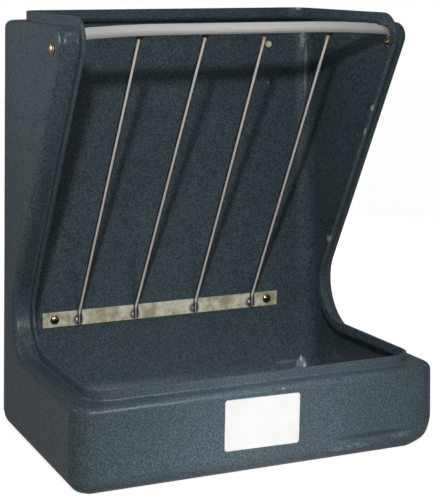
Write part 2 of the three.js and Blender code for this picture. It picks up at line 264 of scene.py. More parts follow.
GRAIN, WEAR, PATCH, DRAWN = fine_grain(), edge_wear(), soft_patch(), drawn_metal()
print("node groups:", [g.name for g in bpy.data.node_groups])

# %% Material helpers
def grouped(tree, group, **values):
    made = tree.nodes.new("ShaderNodeGroup")
    made.node_tree = group
    for key, value in values.items():
        set_input(tree, made.inputs[key.replace("_", " ")], value)
    return made.outputs


def new_material(name, **plain):
    made = bpy.data.materials.new(name)
    made.use_nodes = True
    tree = made.node_tree
    shader = tree.nodes["Principled BSDF"].inputs
    for key, value in plain.items():
        shader[key.replace("_", " ")].default_value = value
    return made, tree, shader


def bump(tree, height, distance, under=None):
    links = {"Height": height, "Distance": distance, "Strength": 1.0}
    if under is not None:
        links["Normal"] = under
    return place(tree, "ShaderNodeBump", links).outputs["Normal"]

# %% [markdown]
# ## Moulded polyethylene
# Powder melts against the inside of a hot steel mould, so the skin has a fine peel and faint specks
# where grains of pigment met, and the walls wander a little. Corners rub pale.
#
# The marks are placed one by one where the photograph shows them, and not all of them are wear. Four
# stand for light: the glints and glows at the trough's right corner are painted as pale colour, so
# they stay there under any lamp. Three stand for a form: the crease low on the trough's front is
# painted shade, dark with pale mottles below, and has no geometry.

# %% Marks on the shell
# PALE serves wear and painted glints; DARK serves the painted shade of a crease and a dark line on the rim.
PALE, DARK = (0.50, 0.53, 0.55, 1), (0.012, 0.020, 0.026, 1)
WHOLE = (900, 900, 900)

# Centre, half size, scale of the streaks, cover, strength and tint
SHELL_MARKS = (
    # Pale streaks down the right inner corner, and a pale spot on the lip above them
    ((0.2650, 0.198, 0.631), (0.0060, 0.010, 0.022), (420, 420, 300), 0.52, 0.95, PALE),
    ((0.2700, 0.195, 0.580), (0.0028, 0.008, 0.070), (420, 420, 120), 0.62, 0.45, PALE),
    ((0.2410, 0.170, 0.685), (0.0070, 0.007, 0.005), WHOLE, 1.0, 0.80, PALE),
    # Painted light: two glints in the trough's right back corner and two glows beside it
    ((0.2722, 0.201, 0.0480), (0.0030, 0.0045, 0.0080), WHOLE, 1.0, 1.0, PALE),
    ((0.2770, 0.194, 0.0360), (0.0036, 0.0050, 0.0050), WHOLE, 1.0, 0.70, PALE),
    ((0.2400, 0.204, 0.0440), (0.0300, 0.0060, 0.0045), WHOLE, 1.0, 0.18, PALE),
    ((0.2943, 0.111, 0.0727), (0.0060, 0.0200, 0.0070), WHOLE, 1.0, 0.12, PALE),
    # Painted shade: a dark crease low on the trough's front, with pale mottles below
    ((0.1850, -0.205, 0.0375), (0.0900, 0.020, 0.0060), (40, 60, 160), 0.85, 0.65, DARK),
    ((0.1450, -0.200, 0.0215), (0.0550, 0.020, 0.0090), (190, 190, 260), 0.46, 0.26, PALE),
    ((0.2350, -0.195, 0.0300), (0.0300, 0.025, 0.0090), (190, 190, 260), 0.54, 0.32, PALE),
    # Pale streaks on the left shoulder and a speck on the back wall
    ((-0.292, -0.106, 0.570), (0.006, 0.020, 0.028), (90, 300, 40), 0.44, 0.30, PALE),
    ((0.201, 0.2045, 0.555), (0.003, 0.003, 0.003), WHOLE, 1.0, 0.60, PALE),
    # Pale chips on the right lip
    ((0.262, -0.038, 0.492), (0.004, 0.003, 0.003), WHOLE, 1.0, 0.90, PALE),
    ((0.262, -0.052, 0.534), (0.006, 0.005, 0.010), WHOLE, 0.80, 0.60, PALE),
    ((0.262, 0.084, 0.294), (0.008, 0.007, 0.009), WHOLE, 0.85, 0.80, PALE),
    # A short dark line and a pale dot on the front of the rim
    ((0.0090, -0.2080, 0.1301), (0.0022, 0.0060, 0.0090), WHOLE, 1.0, 0.70, DARK),
    ((0.0258, -0.2083, 0.1297), (0.0030, 0.0040, 0.0018), WHOLE, 1.0, 0.60, PALE),
)
print("marks on the shell:", len(SHELL_MARKS))

# %% Moulded polyethylene
def slate_polyethylene():
    made, tree, shader = new_material("Slate polyethylene", Specular_IOR_Level=0.40)
    grain = grouped(tree, GRAIN, Peel_scale=300.0, Speck_scale=400.0, Sway_scale=7.0)
    colour = mix_colours(tree, grain["Specks"], (0.029, 0.047, 0.059, 1), (0.115, 0.160, 0.184, 1))
    colour = mix_colours(tree, calc(tree, "MULTIPLY", grain["Sway"], 0.30), colour, (0.045, 0.060, 0.070, 1))
    worn = grouped(tree, WEAR, Reach=0.002, Breakup=60.0, Amount=0.8)["Mask"]
    colour = mix_colours(tree, worn, colour, (0.20, 0.24, 0.26, 1))
    for centre, half_size, streaks, cover, strength, tint in SHELL_MARKS:
        patch = grouped(tree, PATCH, Centre=centre, Half_size=half_size, Streak_scale=streaks, Cover=cover)
        colour = mix_colours(tree, calc(tree, "MULTIPLY", patch["Mask"], strength), colour, tint)
    tree.links.new(colour, shader["Base Color"])
    tree.links.new(remap(tree, grain["Peel"], 0.3, 0.7, 0.30, 0.39), shader["Roughness"])
    tree.links.new(bump(tree, grain["Peel"], 0.00012, bump(tree, grain["Sway"], 0.0007)), shader["Normal"])
    return made


SLATE = slate_polyethylene()
print("made", SLATE.name)

# %% [markdown]
# ## Metals
# The real rack is bright drawn steel, its wall strip is zinc plated and clouded by the heat of
# welding, and the two side bolts have the gold tint of a yellow zinc finish. Only the domed bolts and
# the yellow zinc are full metal here, and the welds nearly so. Real metal mirrors this dim studio and
# came out too dark, so the rods, bar, strip and upper wall bolts are pale and have little or no
# Metallic. That is the wrong kind of surface for steel, and the rods are still too dull with it.
#
# The rods also carry light as colour: they are bright where they face one fixed direction or its
# opposite, and dark brown between. Round the rod, that direction is 4.5 degrees from the first view's
# camera. From the right they look nearly black. The sound way would be plain metal and its own lamp.

# %% Metals
# Painted light on the rods: a painted highlight towards this direction and its opposite, painted shade on the
# flanks.
PAINTED_HIGHLIGHT_TOWARDS = (-0.36, -0.80, -0.48)
PAINTED_FLANK_SHADE, HEAT_BROWN = (0.050, 0.038, 0.032, 1), (0.42, 0.27, 0.12, 1)
HEATED_HEIGHTS = (0.630, 0.668)
EVEN_LINES = (300, 300, 300)


def drawn_steel(name, dark, light, line_scale, smooth, rough, groove=0.02 * MM, metallic=1.0,
                heated_from=None, painted_highlight_towards=None):
    made, tree, shader = new_material(name, Metallic=metallic)
    drawn = grouped(tree, DRAWN, Line_scale=line_scale, Cloud_scale=60.0)
    colour = mix_colours(tree, drawn["Lines"], dark, light)
    colour = mix_colours(tree, calc(tree, "MULTIPLY", drawn["Clouds"], 0.20), colour, dark)
    # Painted highlight and painted shade: full colour near the direction, dark brown on the flanks.
    if painted_highlight_towards is not None:
        surface = place(tree, "ShaderNodeNewGeometry").outputs["Normal"]
        facing = vector_calc(tree, "DOT_PRODUCT", surface, painted_highlight_towards)["Value"]
        in_painted_highlight = remap(tree, calc(tree, "ABSOLUTE", facing), 0.80, 0.97)
        colour = mix_colours(tree, in_painted_highlight, PAINTED_FLANK_SHADE, colour)
    if heated_from is not None:
        height = place(tree, "ShaderNodeSeparateXYZ", {0: object_place(tree)}).outputs["Z"]
        patchy = remap(tree, drawn["Clouds"], 0.0, 1.0, 0.3, 0.9)
        heat = calc(tree, "MULTIPLY", remap(tree, height, *heated_from), patchy)
        colour = mix_colours(tree, heat, colour, HEAT_BROWN)
    tree.links.new(colour, shader["Base Color"])
    tree.links.new(remap(tree, drawn["Clouds"], 0.0, 1.0, smooth, rough), shader["Roughness"])
    tree.links.new(bump(tree, drawn["Lines"], groove), shader["Normal"])
    return made


def weld_metal(name, dark, light):
    made, tree, shader = new_material(name, Metallic=0.8)
    drawn = grouped(tree, DRAWN, Line_scale=(500, 500, 500), Cloud_scale=220.0)
    tree.links.new(mix_colours(tree, drawn["Clouds"], dark, light), shader["Base Color"])
    tree.links.new(remap(tree, drawn["Lines"], 0.3, 0.7, 0.30, 0.60), shader["Roughness"])
    tree.links.new(bump(tree, drawn["Lines"], 0.0003), shader["Normal"])
    return made


BAR_STEEL = drawn_steel(
    "Rolled bar steel", (0.70, 0.69, 0.68, 1), (0.95, 0.94, 0.93, 1), (7, 420, 420), 0.36, 0.50,
    metallic=0.08)
ROD_STEEL = drawn_steel(
    "Bright rod steel", (0.98, 0.96, 0.92, 1), (1.0, 1.0, 0.98, 1), (700, 25, 25), 0.20, 0.32, 0.003 * MM,
    metallic=0.0, heated_from=HEATED_HEIGHTS, painted_highlight_towards=PAINTED_HIGHLIGHT_TOWARDS)
BOLT_ZINC = drawn_steel(
    "Bolt zinc", (0.98, 0.95, 0.62, 1), (1.0, 1.0, 0.80, 1), EVEN_LINES, 0.20, 0.34, metallic=0.05)
DOME_STEEL = drawn_steel(
    "Tarnished dome", (0.20, 0.14, 0.08, 1), (0.60, 0.52, 0.40, 1), EVEN_LINES, 0.18, 0.34)
YELLOW_ZINC = drawn_steel(
    "Yellow zinc", (0.22, 0.15, 0.06, 1), (0.80, 0.66, 0.36, 1), EVEN_LINES, 0.22, 0.40)
# Near-black beads where the rods meet the top bar
NEAR_BLACK_WELD = weld_metal("Near-black weld", (0.030, 0.026, 0.022, 1), (0.13, 0.11, 0.09, 1))
BRIGHT_WELD = weld_metal("Bright weld", (0.12, 0.09, 0.06, 1), (0.80, 0.77, 0.68, 1))
print("materials:", [m.name for m in bpy.data.materials])

# %% [markdown]
# ## Helpers for new pieces
# Every new piece is shaped at its real place in a bmesh, turned into an object that sits at the
# origin, and hung on the feeder's one body.

# %% Helpers for new pieces
def finish_piece(shape, name, material, stands_for=(), sharp_angle=35):
    for edge in shape.edges:
        edge.smooth = not edge.is_manifold or edge.calc_face_angle() < radians(sharp_angle)
    for face in shape.faces:
        face.smooth = True
    mesh = bpy.data.meshes.new(name)
    shape.to_mesh(mesh)
    shape.free()
    mesh.materials.append(material)
    piece = bpy.data.objects.new(name, mesh)
    bpy.context.scene.collection.objects.link(piece)
    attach(piece, "root")
    if stands_for:
        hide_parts(*stands_for)
    print(name, "faces:", len(mesh.polygons))
    return piece


def ease_edges(piece, width, angle=40, segments=2):
    bevel = piece.modifiers.new("Eased edges", "BEVEL")
    bevel.width = width
    bevel.segments = segments
    bevel.limit_method = "ANGLE"
    bevel.angle_limit = radians(angle)
    bevel.use_clamp_overlap = True
    weighted = piece.modifiers.new("Level normals", "WEIGHTED_NORMAL")
    weighted.keep_sharp = True


def bevel_edges(shape, edges, offset, segments):
    bmesh.ops.bevel(shape, geom=edges, offset=offset, offset_type="OFFSET", segments=segments, profile=0.5,
                    affect="EDGES", clamp_overlap=False, material=-1)


def eased_copy(node, material, width):
    """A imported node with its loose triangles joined, its flat faces made whole and its edges eased."""
    shape = bmesh.new()
    shape.from_mesh(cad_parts[node].data)
    bmesh.ops.remove_doubles(shape, verts=shape.verts, dist=0.05 * MM)
    bmesh.ops.dissolve_limit(shape, angle_limit=radians(1), verts=shape.verts, edges=shape.edges)
    piece = finish_piece(shape, node.capitalize() + "_dressed", material, [node])
    ease_edges(piece, width)
    return piece

# %% [markdown]
# ## The moulded shell
# The mould is a box with a hollow waist cut out of its front. It could be carved from blocks, but a
# moulder thinks in one skin: draw the side view, stretch it across, round the corners, draw the
# opening in from the rim to leave a ledge, raise the ledge's inner edge as a lip, and give the skin
# its thickness last. That is the order here.
#
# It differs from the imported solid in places. No bolt holes are cut, the lip's foot is rounded and
# edges are eased. The four bottom roundings are fitted to the photograph where the edges show, while
# the solid has 45 mm at the front and back and 40 mm at the sides.

# %% Shell sizes
SHELL_WIDTH, SHELL_DEPTH, SHELL_HEIGHT = 610 * MM, 419 * MM, 686 * MM
TROUGH_HEIGHT, WALL, LIP_HEIGHT = 136 * MM, 5 * MM, 15 * MM
SIDE_LEDGE, FRONT_LEDGE, BACK_LEDGE = 29 * MM, 24.5 * MM, 25 * MM
WAIST_DEPTH, WAIST_RADIUS = 83 * MM, 75 * MM
NOSE_DEPTH, NOSE_RADIUS = 324 * MM, 21.5 * MM
FRONT_EDGE_RADIUS, BACK_EDGE_RADIUS = 40 * MM, 34 * MM
BOTTOM_BACK_RADIUS, BOTTOM_FRONT_RADIUS = 52 * MM, 30 * MM
BOTTOM_LEFT_RADIUS, BOTTOM_RIGHT_RADIUS = 26 * MM, 60 * MM
LIP_FRONT_RADIUS, LIP_BACK_RADIUS = 40 * MM, 30 * MM
SHOULDER_RADIUS, LIP_FOOT_RADIUS = 11 * MM, 3.5 * MM
UPRIGHT_DRAFT, BACK_DRAFT = 0.0294, 0.0235
half_width = SHELL_WIDTH / 2
front, back = -SHELL_DEPTH / 2, SHELL_DEPTH / 2
rim_top = SHELL_HEIGHT - LIP_HEIGHT

nose = Vector((back - NOSE_DEPTH + NOSE_RADIUS, rim_top - NOSE_RADIUS))
waist = Vector((back - WAIST_DEPTH - WAIST_RADIUS, TROUGH_HEIGHT + WAIST_RADIUS))
run = waist - nose
slant_facing = atan2(run.y, run.x) - acos((NOSE_RADIUS + WAIST_RADIUS) / run.length)
slant_normal = Vector((cos(slant_facing), sin(slant_facing)))
rim_turn = slant_facing + 3 * pi / 2
print("the rim turns by", round(degrees(rim_turn), 1), "degrees at the nose and back at the waist")

# %% Shell, drawn from the side
def arc(shape, start, centre, angle, steps):
    """Swings one point about a corner's centre in the side view, and gives both ends of its path."""
    first = shape.verts.new((-half_width, *start))
    swung = bmesh.ops.spin(shape, geom=[first], cent=(-half_width, *centre), axis=(1, 0, 0), dvec=(0, 0, 0),
                           angle=angle, steps=steps, use_duplicate=False)
    return first, next(g for g in swung["geom_last"] if isinstance(g, bmesh.types.BMVert))


def side_view():
    shape = bmesh.new()
    nose_start, nose_end = arc(shape, nose + Vector((0, NOSE_RADIUS)), nose, rim_turn, 10)
    waist_start, waist_end = arc(shape, waist - slant_normal * WAIST_RADIUS, waist, -rim_turn, 16)
    corners = [shape.verts.new((-half_width, y, z)) for y, z in (
        (front, TROUGH_HEIGHT), (front, 0), (back, 0), (back, rim_top))]
    for pair in ((nose_end, waist_start), (waist_end, corners[0]), corners[0:2], corners[1:3], corners[2:4],
                 (corners[3], nose_start)):
        shape.edges.new(pair)
    bmesh.ops.edgeloop_fill(shape, edges=shape.edges[:])
    return shape


shell = side_view()
stretched = bmesh.ops.extrude_face_region(shell, geom=shell.faces[:])
moved = [g for g in stretched["geom"] if isinstance(g, bmesh.types.BMVert)]
bmesh.ops.translate(shell, verts=moved, vec=(SHELL_WIDTH, 0, 0))
bmesh.ops.recalc_face_normals(shell, faces=shell.faces[:])
print("side view stretched across:", len(shell.faces), "faces")

# %% Shell, outer corners rounded
def edge_radius(edge):
    """The rounding of one outer edge: the upright corners and the bottom differ, the rim has none yet."""
    first, second = (v.co for v in edge.verts)
    if abs(first.z) + abs(second.z) < MM:
        if abs(first.y - second.y) < MM:
            return BOTTOM_FRONT_RADIUS if first.y < 0 else BOTTOM_BACK_RADIUS
        return BOTTOM_LEFT_RADIUS if first.x < 0 else BOTTOM_RIGHT_RADIUS
    if abs(first.x - second.x) + abs(first.y - second.y) < MM / 100:
        return FRONT_EDGE_RADIUS if first.y < 0 else BACK_EDGE_RADIUS
    return 0


def round_by_weight(shape, radius_of, widest, segments):
    """Rounds edges by different radii at once, which the Bevel modifier does by edge weights."""
    weight = shape.edges.layers.float.new("bevel_weight_edge")
    for edge in shape.edges:
        edge[weight] = radius_of(edge) / widest
    mesh = bpy.data.meshes.new("Rounding")
    shape.to_mesh(mesh)
    shape.free()
    holder = bpy.data.objects.new("Rounding", mesh)
    bpy.context.scene.collection.objects.link(holder)
    bevel = holder.modifiers.new("Rounding", "BEVEL")
    bevel.width, bevel.segments, bevel.limit_method = widest, segments, "WEIGHT"
    bevel.use_clamp_overlap = False
    rounded = bmesh.new()
    rounded.from_object(holder, bpy.context.evaluated_depsgraph_get())
    bpy.data.objects.remove(holder)
    bpy.data.meshes.remove(mesh)
    return rounded


shell = round_by_weight(shell, edge_radius, BOTTOM_RIGHT_RADIUS, 10)
print("outer corners rounded:", len(shell.faces), "faces")

# %% Shell, ledge and lip
def is_rim(face):
    faces_out = face.normal
    return abs(faces_out.x) < 0.01 and faces_out.y < 0.01 and faces_out.z > -0.6 and (
        face.calc_center_median().z > TROUGH_HEIGHT - MM)


def move_to_lip(vert):
    """Carries a vertex from a hair's breadth inside the rim to the lip's outline and corner radii."""
    side, x, y = copysign(1, vert.co.x), abs(vert.co.x), vert.co.y
    for way, end, outer, lip, ledge in ((-1, front, FRONT_EDGE_RADIUS, LIP_FRONT_RADIUS, FRONT_LEDGE),
                                        (1, back, BACK_EDGE_RADIUS, LIP_BACK_RADIUS, BACK_LEDGE)):
        from_centre = Vector((x - (half_width - outer), y - (end - way * outer)))
        if from_centre.x > -MM / 5 and way * from_centre.y > -MM / 5:
            swung = from_centre.normalized() * lip
            vert.co.x = side * (half_width - SIDE_LEDGE - lip + swung.x)
            vert.co.y = end - way * (ledge + lip) + swung.y
            return
    vert.co.x = side * (half_width - SIDE_LEDGE)


def rim_normal(place):
    """The way the rim faces at a point of its outline, in the side view."""
    from_nose, from_waist = place - nose, place - waist
    if abs(from_nose.length - NOSE_RADIUS) < MM:
        return from_nose.normalized()
    if abs(from_waist.length - WAIST_RADIUS) < MM:
        return -from_waist.normalized()
    return Vector((0, 1))


rim = [f for f in shell.faces if is_rim(f)]
ledge = bmesh.ops.inset_region(shell, faces=rim, thickness=MM / 10, depth=0, use_even_offset=False)["faces"]
for vert in {v for f in rim for v in f.verts}:
    move_to_lip(vert)
foot = list({e for f in rim for e in f.edges} & {e for f in ledge for e in f.edges})
bmesh.ops.delete(shell, geom=rim, context="FACES")
raised = bmesh.ops.extrude_edge_only(shell, edges=foot)["geom"]
for vert in raised:
    if isinstance(vert, bmesh.types.BMVert):
        rise = rim_normal(vert.co.yz) * LIP_HEIGHT
        vert.co += Vector((0, rise.x, rise.y))
shoulder = [e for e in {e for f in ledge for e in f.edges} if any(f not in ledge for f in e.link_faces)]
shoulder = [e for e in shoulder if e not in foot]
print("foot edges:", len(foot), "shoulder edges:", len(shoulder))

# %% Shell, shoulder, lip foot and draft
bevel_edges(shell, shoulder, SHOULDER_RADIUS, 4)
bevel_edges(shell, foot, LIP_FOOT_RADIUS, 3)
flat_half = half_width - SIDE_LEDGE - LIP_FRONT_RADIUS
for vert in shell.verts:
    lean = -UPRIGHT_DRAFT * (vert.co.z - TROUGH_HEIGHT) - BACK_DRAFT * (vert.co.y - front)
    vert.co.x += lean * max(-1, min(1, vert.co.x / flat_half))
shell.normal_update()

body = finish_piece(shell, "Moulded_shell", SLATE, ["moulded_body"])
skin = body.modifiers.new("Wall", "SOLIDIFY")
skin.thickness = WALL
skin.offset = -1
skin.use_even_offset = True
ease_edges(body, 0.9 * MM, angle=60)

# %% [markdown]
# ## Rack
# The four rods are lengths of bright round bar, bent once near the foot. Each is made as it is bent
# in a shop: a round end is drawn up, swung about the bending pin and drawn on to the top bar.

# %% Rack sizes
FIT = 0.3 * MM
ROD_RADIUS, ROD_BEND_TANGENT = 4 * MM, 5 * MM
BAR_WIDTH, BAR_THICKNESS = 25.4 * MM, 3.2 * MM
BAR_BOW, BAR_SETBACK, BAR_DROP = 8.5 * MM, 26 * MM, 27.5 * MM
EAR_CORNER = 9.2 * MM
STRIP_LENGTH = 442 * MM
FOOT_REACH = 21.4 * MM
strip_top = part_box("rack_wall_strip")[1][2]
strip_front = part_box("rack_wall_strip")[0][1]
bar_y, bar_z = back - NOSE_DEPTH + BAR_SETBACK, SHELL_HEIGHT - BAR_DROP
rod_y = strip_front - FIT - ROD_RADIUS
rack_lean = atan2(rod_y - bar_y, bar_z - strip_top)
rack_up = Vector((0, -sin(rack_lean), cos(rack_lean)))
bow_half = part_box("rack_top_bar")[1][0] - EAR_CORNER
ROD_SHARES = ((-0.355, -0.353), (-0.122, -0.112), (0.133, 0.113), (0.382, 0.362))


def rod_ends(foot_share, top_share):
    foot = Vector((foot_share * STRIP_LENGTH, rod_y, strip_top - FOOT_REACH))
    bend = Vector((foot_share * STRIP_LENGTH, rod_y, strip_top))
    x = top_share * STRIP_LENGTH
    rise = BAR_BOW * (1 - (x / bow_half) ** 4) - BAR_THICKNESS / 2
    return foot, bend, Vector((x, bar_y, bar_z)) + rack_up * rise


print("the rack leans by", round(degrees(rack_lean), 1), "degrees")

# %% Rods
def newest(made, kind):
    return [g for g in made if isinstance(g, kind)]


def draw_on(shape, face, way):
    grown = bmesh.ops.extrude_face_region(shape, geom=[face])["geom"]
    bmesh.ops.translate(shape, verts=newest(grown, bmesh.types.BMVert), vec=way)
    return newest(grown, bmesh.types.BMFace)[0]


def bent_rod(number, foot, bend, top):
    shape = bmesh.new()
    bmesh.ops.create_circle(
        shape, cap_ends=True, radius=ROD_RADIUS, segments=24, matrix=Matrix.Translation(foot))
    upright, onward = Vector((0, 0, 1)), (top - bend).normalized()
    turn = upright.angle(onward)
    pin_radius = ROD_BEND_TANGENT / tan(turn / 2)
    sideways = (onward - upright * onward.dot(upright)).normalized()
    bend_start = bend - upright * ROD_BEND_TANGENT
    end = draw_on(shape, shape.faces[:][0], bend_start - foot)
    pin = bend_start + sideways * pin_radius
    swung = bmesh.ops.spin(
        shape, geom=[end, *end.edges, *end.verts], cent=pin, axis=upright.cross(sideways), dvec=(0, 0, 0),
        angle=turn, steps=6, use_duplicate=False)
    end = newest(swung["geom_last"], bmesh.types.BMFace)[0]
    draw_on(shape, end, top - (bend + onward * ROD_BEND_TANGENT))
    bmesh.ops.recalc_face_normals(shape, faces=shape.faces[:])
    piece = finish_piece(
        shape, f"Rack_rod_{number}_round", ROD_STEEL, [f"rack_rod_{number}"])
    ease_edges(piece, 0.5 * MM)


for number, shares in enumerate(ROD_SHARES, 1):
    bent_rod(number, *rod_ends(*shares))

# %% [markdown]
# ## Strip finish
# Heat from each weld burnt the zinc away round the rod's foot and left a pale halo of spatter. Both
# are patches at the four feet, laid over the cloudy zinc.

# %% Strip finish
# Offset, half size, cover, strength and tint
PALE_HALO = (0, 21 * MM, 0.80, 0.80, (1.0, 0.99, 0.92, 1))
BURNT_SPOT = (-1.5 * MM, 13 * MM, 1.0, 0.95, (0.030, 0.024, 0.014, 1))
SPOT_DROP = 16 * MM


def clouded_zinc():
    made, tree, shader = new_material("Clouded zinc", Metallic=0.05)
    drawn = grouped(tree, DRAWN, Line_scale=(60, 60, 600), Cloud_scale=42.0, Pit_scale=300.0)
    colour = mix_colours(tree, drawn["Clouds"], (0.50, 0.46, 0.25, 1), (1.0, 0.98, 0.80, 1))
    colour = mix_colours(tree, calc(tree, "MULTIPLY", drawn["Lines"], 0.22), colour, (0.30, 0.28, 0.17, 1))
    colour = mix_colours(tree, calc(tree, "MULTIPLY", drawn["Pits"], 0.35), colour, (0.90, 0.88, 0.80, 1))
    for foot_share, _ in ROD_SHARES:
        foot = Vector((foot_share * STRIP_LENGTH, strip_front, strip_top - SPOT_DROP))
        for offset, half_size, cover, strength, tint in (PALE_HALO, BURNT_SPOT):
            spot = grouped(tree, PATCH, Centre=foot + Vector((offset, 0, 0)), Half_size=[half_size] * 3,
                           Streak_scale=(260, 260, 260), Cover=cover)
            colour = mix_colours(tree, calc(tree, "MULTIPLY", spot["Mask"], strength), colour, tint)
    worn = grouped(tree, WEAR, Reach=0.0015, Breakup=200.0, Amount=0.9)["Mask"]
    colour = mix_colours(tree, worn, colour, (0.90, 0.88, 0.78, 1))
    tree.links.new(colour, shader["Base Color"])
    tree.links.new(remap(tree, drawn["Clouds"], 0.0, 1.0, 0.46, 0.30), shader["Roughness"])
    tree.links.new(bump(tree, drawn["Pits"], 0.0001), shader["Normal"])
    return made


ZINC = clouded_zinc()
print("burnt at", len(ROD_SHARES), "feet")

# %% [markdown]
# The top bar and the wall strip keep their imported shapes, with their sheared edges eased. The two
# domed bolts look a little fuller than their packed stand-ins, so the part of each that stands in
# front of the strip is drawn out. The tee nuts keep their packed places too, but the dressed shell has
# no holes or recesses for them, so they lie out of sight inside its back wall.

# %% Bar, strip and bolts
HEAD_GROWTH = 1.15


def paint_bar_edge_shade(material):
    """Paints shade across the bar as colour: the falloff of light leaves its edges darker, the lower one
    most.
    """
    tree = material.node_tree
    shader = tree.nodes["Principled BSDF"].inputs
    bright = shader["Base Color"].links[0].from_socket
    across_bar = (0, cos(rack_lean), sin(rack_lean))
    from_middle = vector_calc(tree, "SUBTRACT", object_place(tree), (0, bar_y, bar_z))[0]
    across = vector_calc(tree, "DOT_PRODUCT", from_middle, across_bar)["Value"]
    lower = calc(tree, "MULTIPLY", remap(tree, across, -0.05 * BAR_WIDTH, -0.5 * BAR_WIDTH), 0.60)
    upper = calc(tree, "MULTIPLY", remap(tree, across, 0.25 * BAR_WIDTH, 0.5 * BAR_WIDTH), 0.25)
    painted_edge_shade = mix_colours(tree, calc(tree, "MAXIMUM", lower, upper), bright, (0.36, 0.35, 0.34, 1))
    tree.links.new(painted_edge_shade, shader["Base Color"])


def fuller_head(piece, node, grow, behind):
    low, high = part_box(node)
    for vert in piece.data.vertices:
        if vert.co.y < behind:
            for axis in (0, 2):
                middle = (low[axis] + high[axis]) / 2
                vert.co[axis] = middle + (vert.co[axis] - middle) * grow


# Painted shade towards the bar's edges
paint_bar_edge_shade(BAR_STEEL)
eased_copy("rack_top_bar", BAR_STEEL, 0.5 * MM)
eased_copy("rack_wall_strip", ZINC, 0.4 * MM)
for side in ("left", "right"):
    for node in ("strip_tee_nut_", "mount_tee_nut_"):
        eased_copy(node + side, ZINC, 0.3 * MM)
    eased_copy("mount_bolt_" + side, BOLT_ZINC, 0.4 * MM)
    dome = eased_copy("strip_bolt_" + side, DOME_STEEL, 0.3 * MM)
    fuller_head(dome, "strip_bolt_" + side, HEAD_GROWTH, strip_front)
    for node in ("side_bolt_", "side_washer_", "side_nut_"):
        eased_copy(node + side, YELLOW_ZINC, 0.4 * MM)

# %% [markdown]
# ## Welds
# A weld is a lump of metal that froze while it was flowing, so no two are alike. Each starts as a
# round blob that noise pushes in and out, and is then scaled, leaned and set on what it joins.

# %% Welds
# Side, offset from the rod's foot and half size, in mm
FOOT_BEADS = (("left", (-4.4, 0, 5.5), (3.4, 3, 5.0)), ("right", (4.2, 0, 9.0), (2.2, 2.4, 6.5)))
TOP_BEAD, TOP_BEAD_DROP, BEAD_PROUD = (6.0 * MM, 6.0 * MM, 7.2 * MM), 7.5 * MM, 1.5 * MM


def weld_bead(name, centre, half_size, material, lean=0.0):
    shape = bmesh.new()
    bmesh.ops.create_icosphere(shape, subdivisions=4, radius=1)
    for vert in shape.verts:
        vert.co *= 1 + 0.30 * noise.noise(vert.co * 1.9 + centre * 400)
    bmesh.ops.scale(shape, verts=shape.verts, vec=half_size)
    bmesh.ops.rotate(shape, verts=shape.verts, cent=(0, 0, 0), matrix=Matrix.Rotation(lean, 3, "X"))
    bmesh.ops.translate(shape, verts=shape.verts, vec=centre)
    return finish_piece(shape, name, material, sharp_angle=80)


for number, shares in enumerate(ROD_SHARES, 1):
    foot, _, top = rod_ends(*shares)
    on_strip = Vector((foot.x, strip_front - BEAD_PROUD, foot.z))
    for side, offset, half_size in FOOT_BEADS:
        half_size = [reach * MM for reach in half_size]
        weld_bead(f"Foot_weld_{number}_{side}", on_strip + Vector(offset) * MM, half_size, BRIGHT_WELD)
    weld_bead(f"Top_weld_{number}", top - rack_up * TOP_BEAD_DROP, TOP_BEAD, NEAR_BLACK_WELD, rack_lean)

# %% [markdown]
# ## Trimmed lip
# The opening of such a shell is cut out of the moulding. On the right a ragged strip of flash is left
# along the lip, with three small hooks. A grid bent along the lip gives its uneven edge.

# %% Trimmed lip
FLASH_TOP_Z, FLASH_END_Z, FLASH_THICKNESS, FLASH_WIDTH = 648 * MM, 232 * MM, 1.4 * MM, 2.0 * MM
HOOKS = ((533 * MM, 4.0 * MM), (492 * MM, 1.8 * MM), (295 * MM, 4.0 * MM))
HOOK_LENGTH = 6 * MM


def cut_polyethylene():
    made, tree, shader = new_material("Cut polyethylene", Specular_IOR_Level=0.24)
    drawn = grouped(tree, DRAWN, Line_scale=(300, 60, 60), Cloud_scale=70.0)
    colour = mix_colours(tree, drawn["Clouds"], (0.085, 0.110, 0.125, 1), (0.20, 0.235, 0.25, 1))
    for z, _ in HOOKS:
        on_lip = slant_place(z)
        chip = grouped(tree, PATCH, Centre=(lip_inside(on_lip), *on_lip), Half_size=[9 * MM] * 3,
                       Streak_scale=(500, 500, 500), Cover=0.8)
        colour = mix_colours(tree, calc(tree, "MULTIPLY", chip["Mask"], 0.8), colour, (0.60, 0.63, 0.62, 1))
    tree.links.new(colour, shader["Base Color"])
    tree.links.new(remap(tree, drawn["Lines"], 0.3, 0.7, 0.40, 0.60), shader["Roughness"])
    tree.links.new(bump(tree, drawn["Lines"], 0.0002), shader["Normal"])
    return made


def slant_place(z):
    """A place on the edge of the lip at height z, in the side view."""
    start = nose + slant_normal * (NOSE_RADIUS + LIP_HEIGHT - 0.2 * MM)
    along = Vector((-slant_normal.y, slant_normal.x))
    return start + along * ((z - start.y) / along.y)


def lip_inside(place):
    """How far from the middle the lip's inner face stands, at a place in the side view."""
    upright_lean, depth_lean = UPRIGHT_DRAFT * (place.y - TROUGH_HEIGHT), BACK_DRAFT * (place.x - front)
    return half_width - SIDE_LEDGE - WALL - upright_lean - depth_lean


